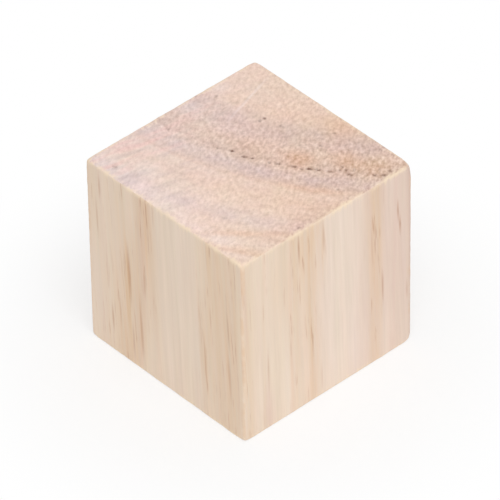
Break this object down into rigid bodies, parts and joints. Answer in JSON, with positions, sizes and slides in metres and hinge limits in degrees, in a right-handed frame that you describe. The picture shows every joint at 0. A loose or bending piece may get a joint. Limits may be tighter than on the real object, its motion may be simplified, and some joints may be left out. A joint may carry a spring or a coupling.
{
  "type": "wooden cube",
  "caption": "Solid bare pine cube with planed sides, sawn end grain, lightly eased edges and blunted corners, for stacking, spacing or craft work.",
  "frame": {"origin": "centre of the bottom face, which is one of the two sawn end-grain faces", "axes": "+Z along the grain, from the bottom end face to the top one; +X and +Y out of two of the planed side faces"},
  "size_m": [0.03, 0.03, 0.03],
  "materials": {
    "pine": "bare pine, planed sides and sawn end grain"
  },
  "bodies": {
    "root": {"wooden_cube": "pine"}
  },
  "joints": []
}
